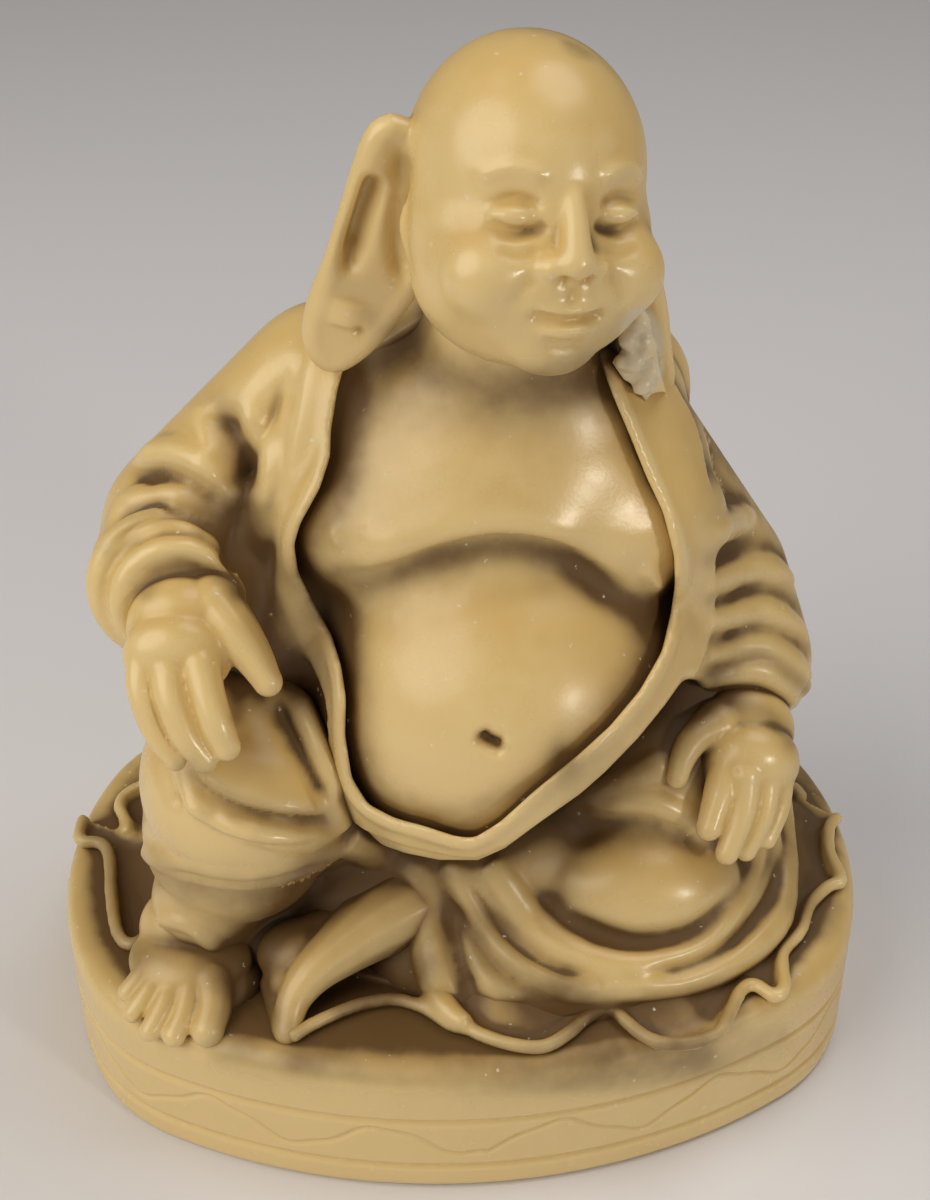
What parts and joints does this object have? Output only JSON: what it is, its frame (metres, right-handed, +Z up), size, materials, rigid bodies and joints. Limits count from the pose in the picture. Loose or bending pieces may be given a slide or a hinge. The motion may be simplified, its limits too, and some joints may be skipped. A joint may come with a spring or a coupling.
{
  "type": "buddha statue",
  "caption": "Small cast resin statue of a laughing, bald, seated monk in an open robe on an oval plinth with felt underneath.",
  "frame": {"origin": "middle of the plinth's underside, at the object's base", "axes": "+Z up, the figure faces -Y, and its right hand is on the -X side"},
  "size_m": [0.1, 0.076, 0.1259],
  "materials": {
    "resin": "cast resin in the colour of old ivory, satin, with a brown patina left in the recesses",
    "felt": "dark green felt, short nap"
  },
  "bodies": {
    "root": {"plinth": "resin", "belly": "resin", "chest": "resin", "head": "resin", "right_ear": "resin", "left_ear": "resin", "right_lapel": "resin", "left_lapel": "resin", "right_sleeve": "resin", "left_sleeve": "resin", "right_hand": "resin", "left_hand": "resin", "right_trouser_leg": "resin", "left_trouser_leg": "resin", "right_foot": "resin", "left_foot": "resin", "robe": "resin", "lap_folds": "resin", "hem_cloth": "resin", "felt_pad": "felt"}
  },
  "joints": []
}
